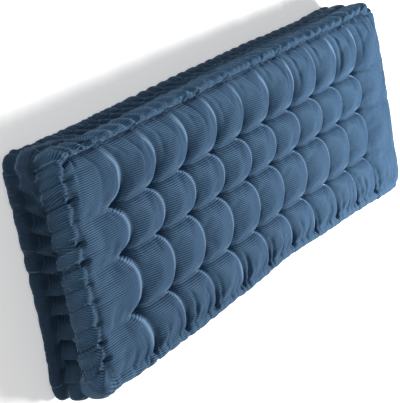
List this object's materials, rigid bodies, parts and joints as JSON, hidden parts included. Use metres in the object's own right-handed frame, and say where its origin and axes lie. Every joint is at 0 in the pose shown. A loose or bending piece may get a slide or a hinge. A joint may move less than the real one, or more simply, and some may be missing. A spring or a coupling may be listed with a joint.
{
  "type": "bench cushion",
  "caption": "Long rectangular bench cushion with a tufted face, rolled rims and a stitched channel round its side.",
  "frame": {"origin": "middle of the cushion's plan on the surface that it lies on, under its back", "axes": "+X along the length, +Y along the width, +Z out of the tufted face"},
  "size_m": [1.2042, 0.4346, 0.124],
  "materials": {
    "corduroy": "dull blue wide rib corduroy with a soft sheen"
  },
  "bodies": {
    "root": {"cushion": "corduroy"}
  },
  "joints": []
}
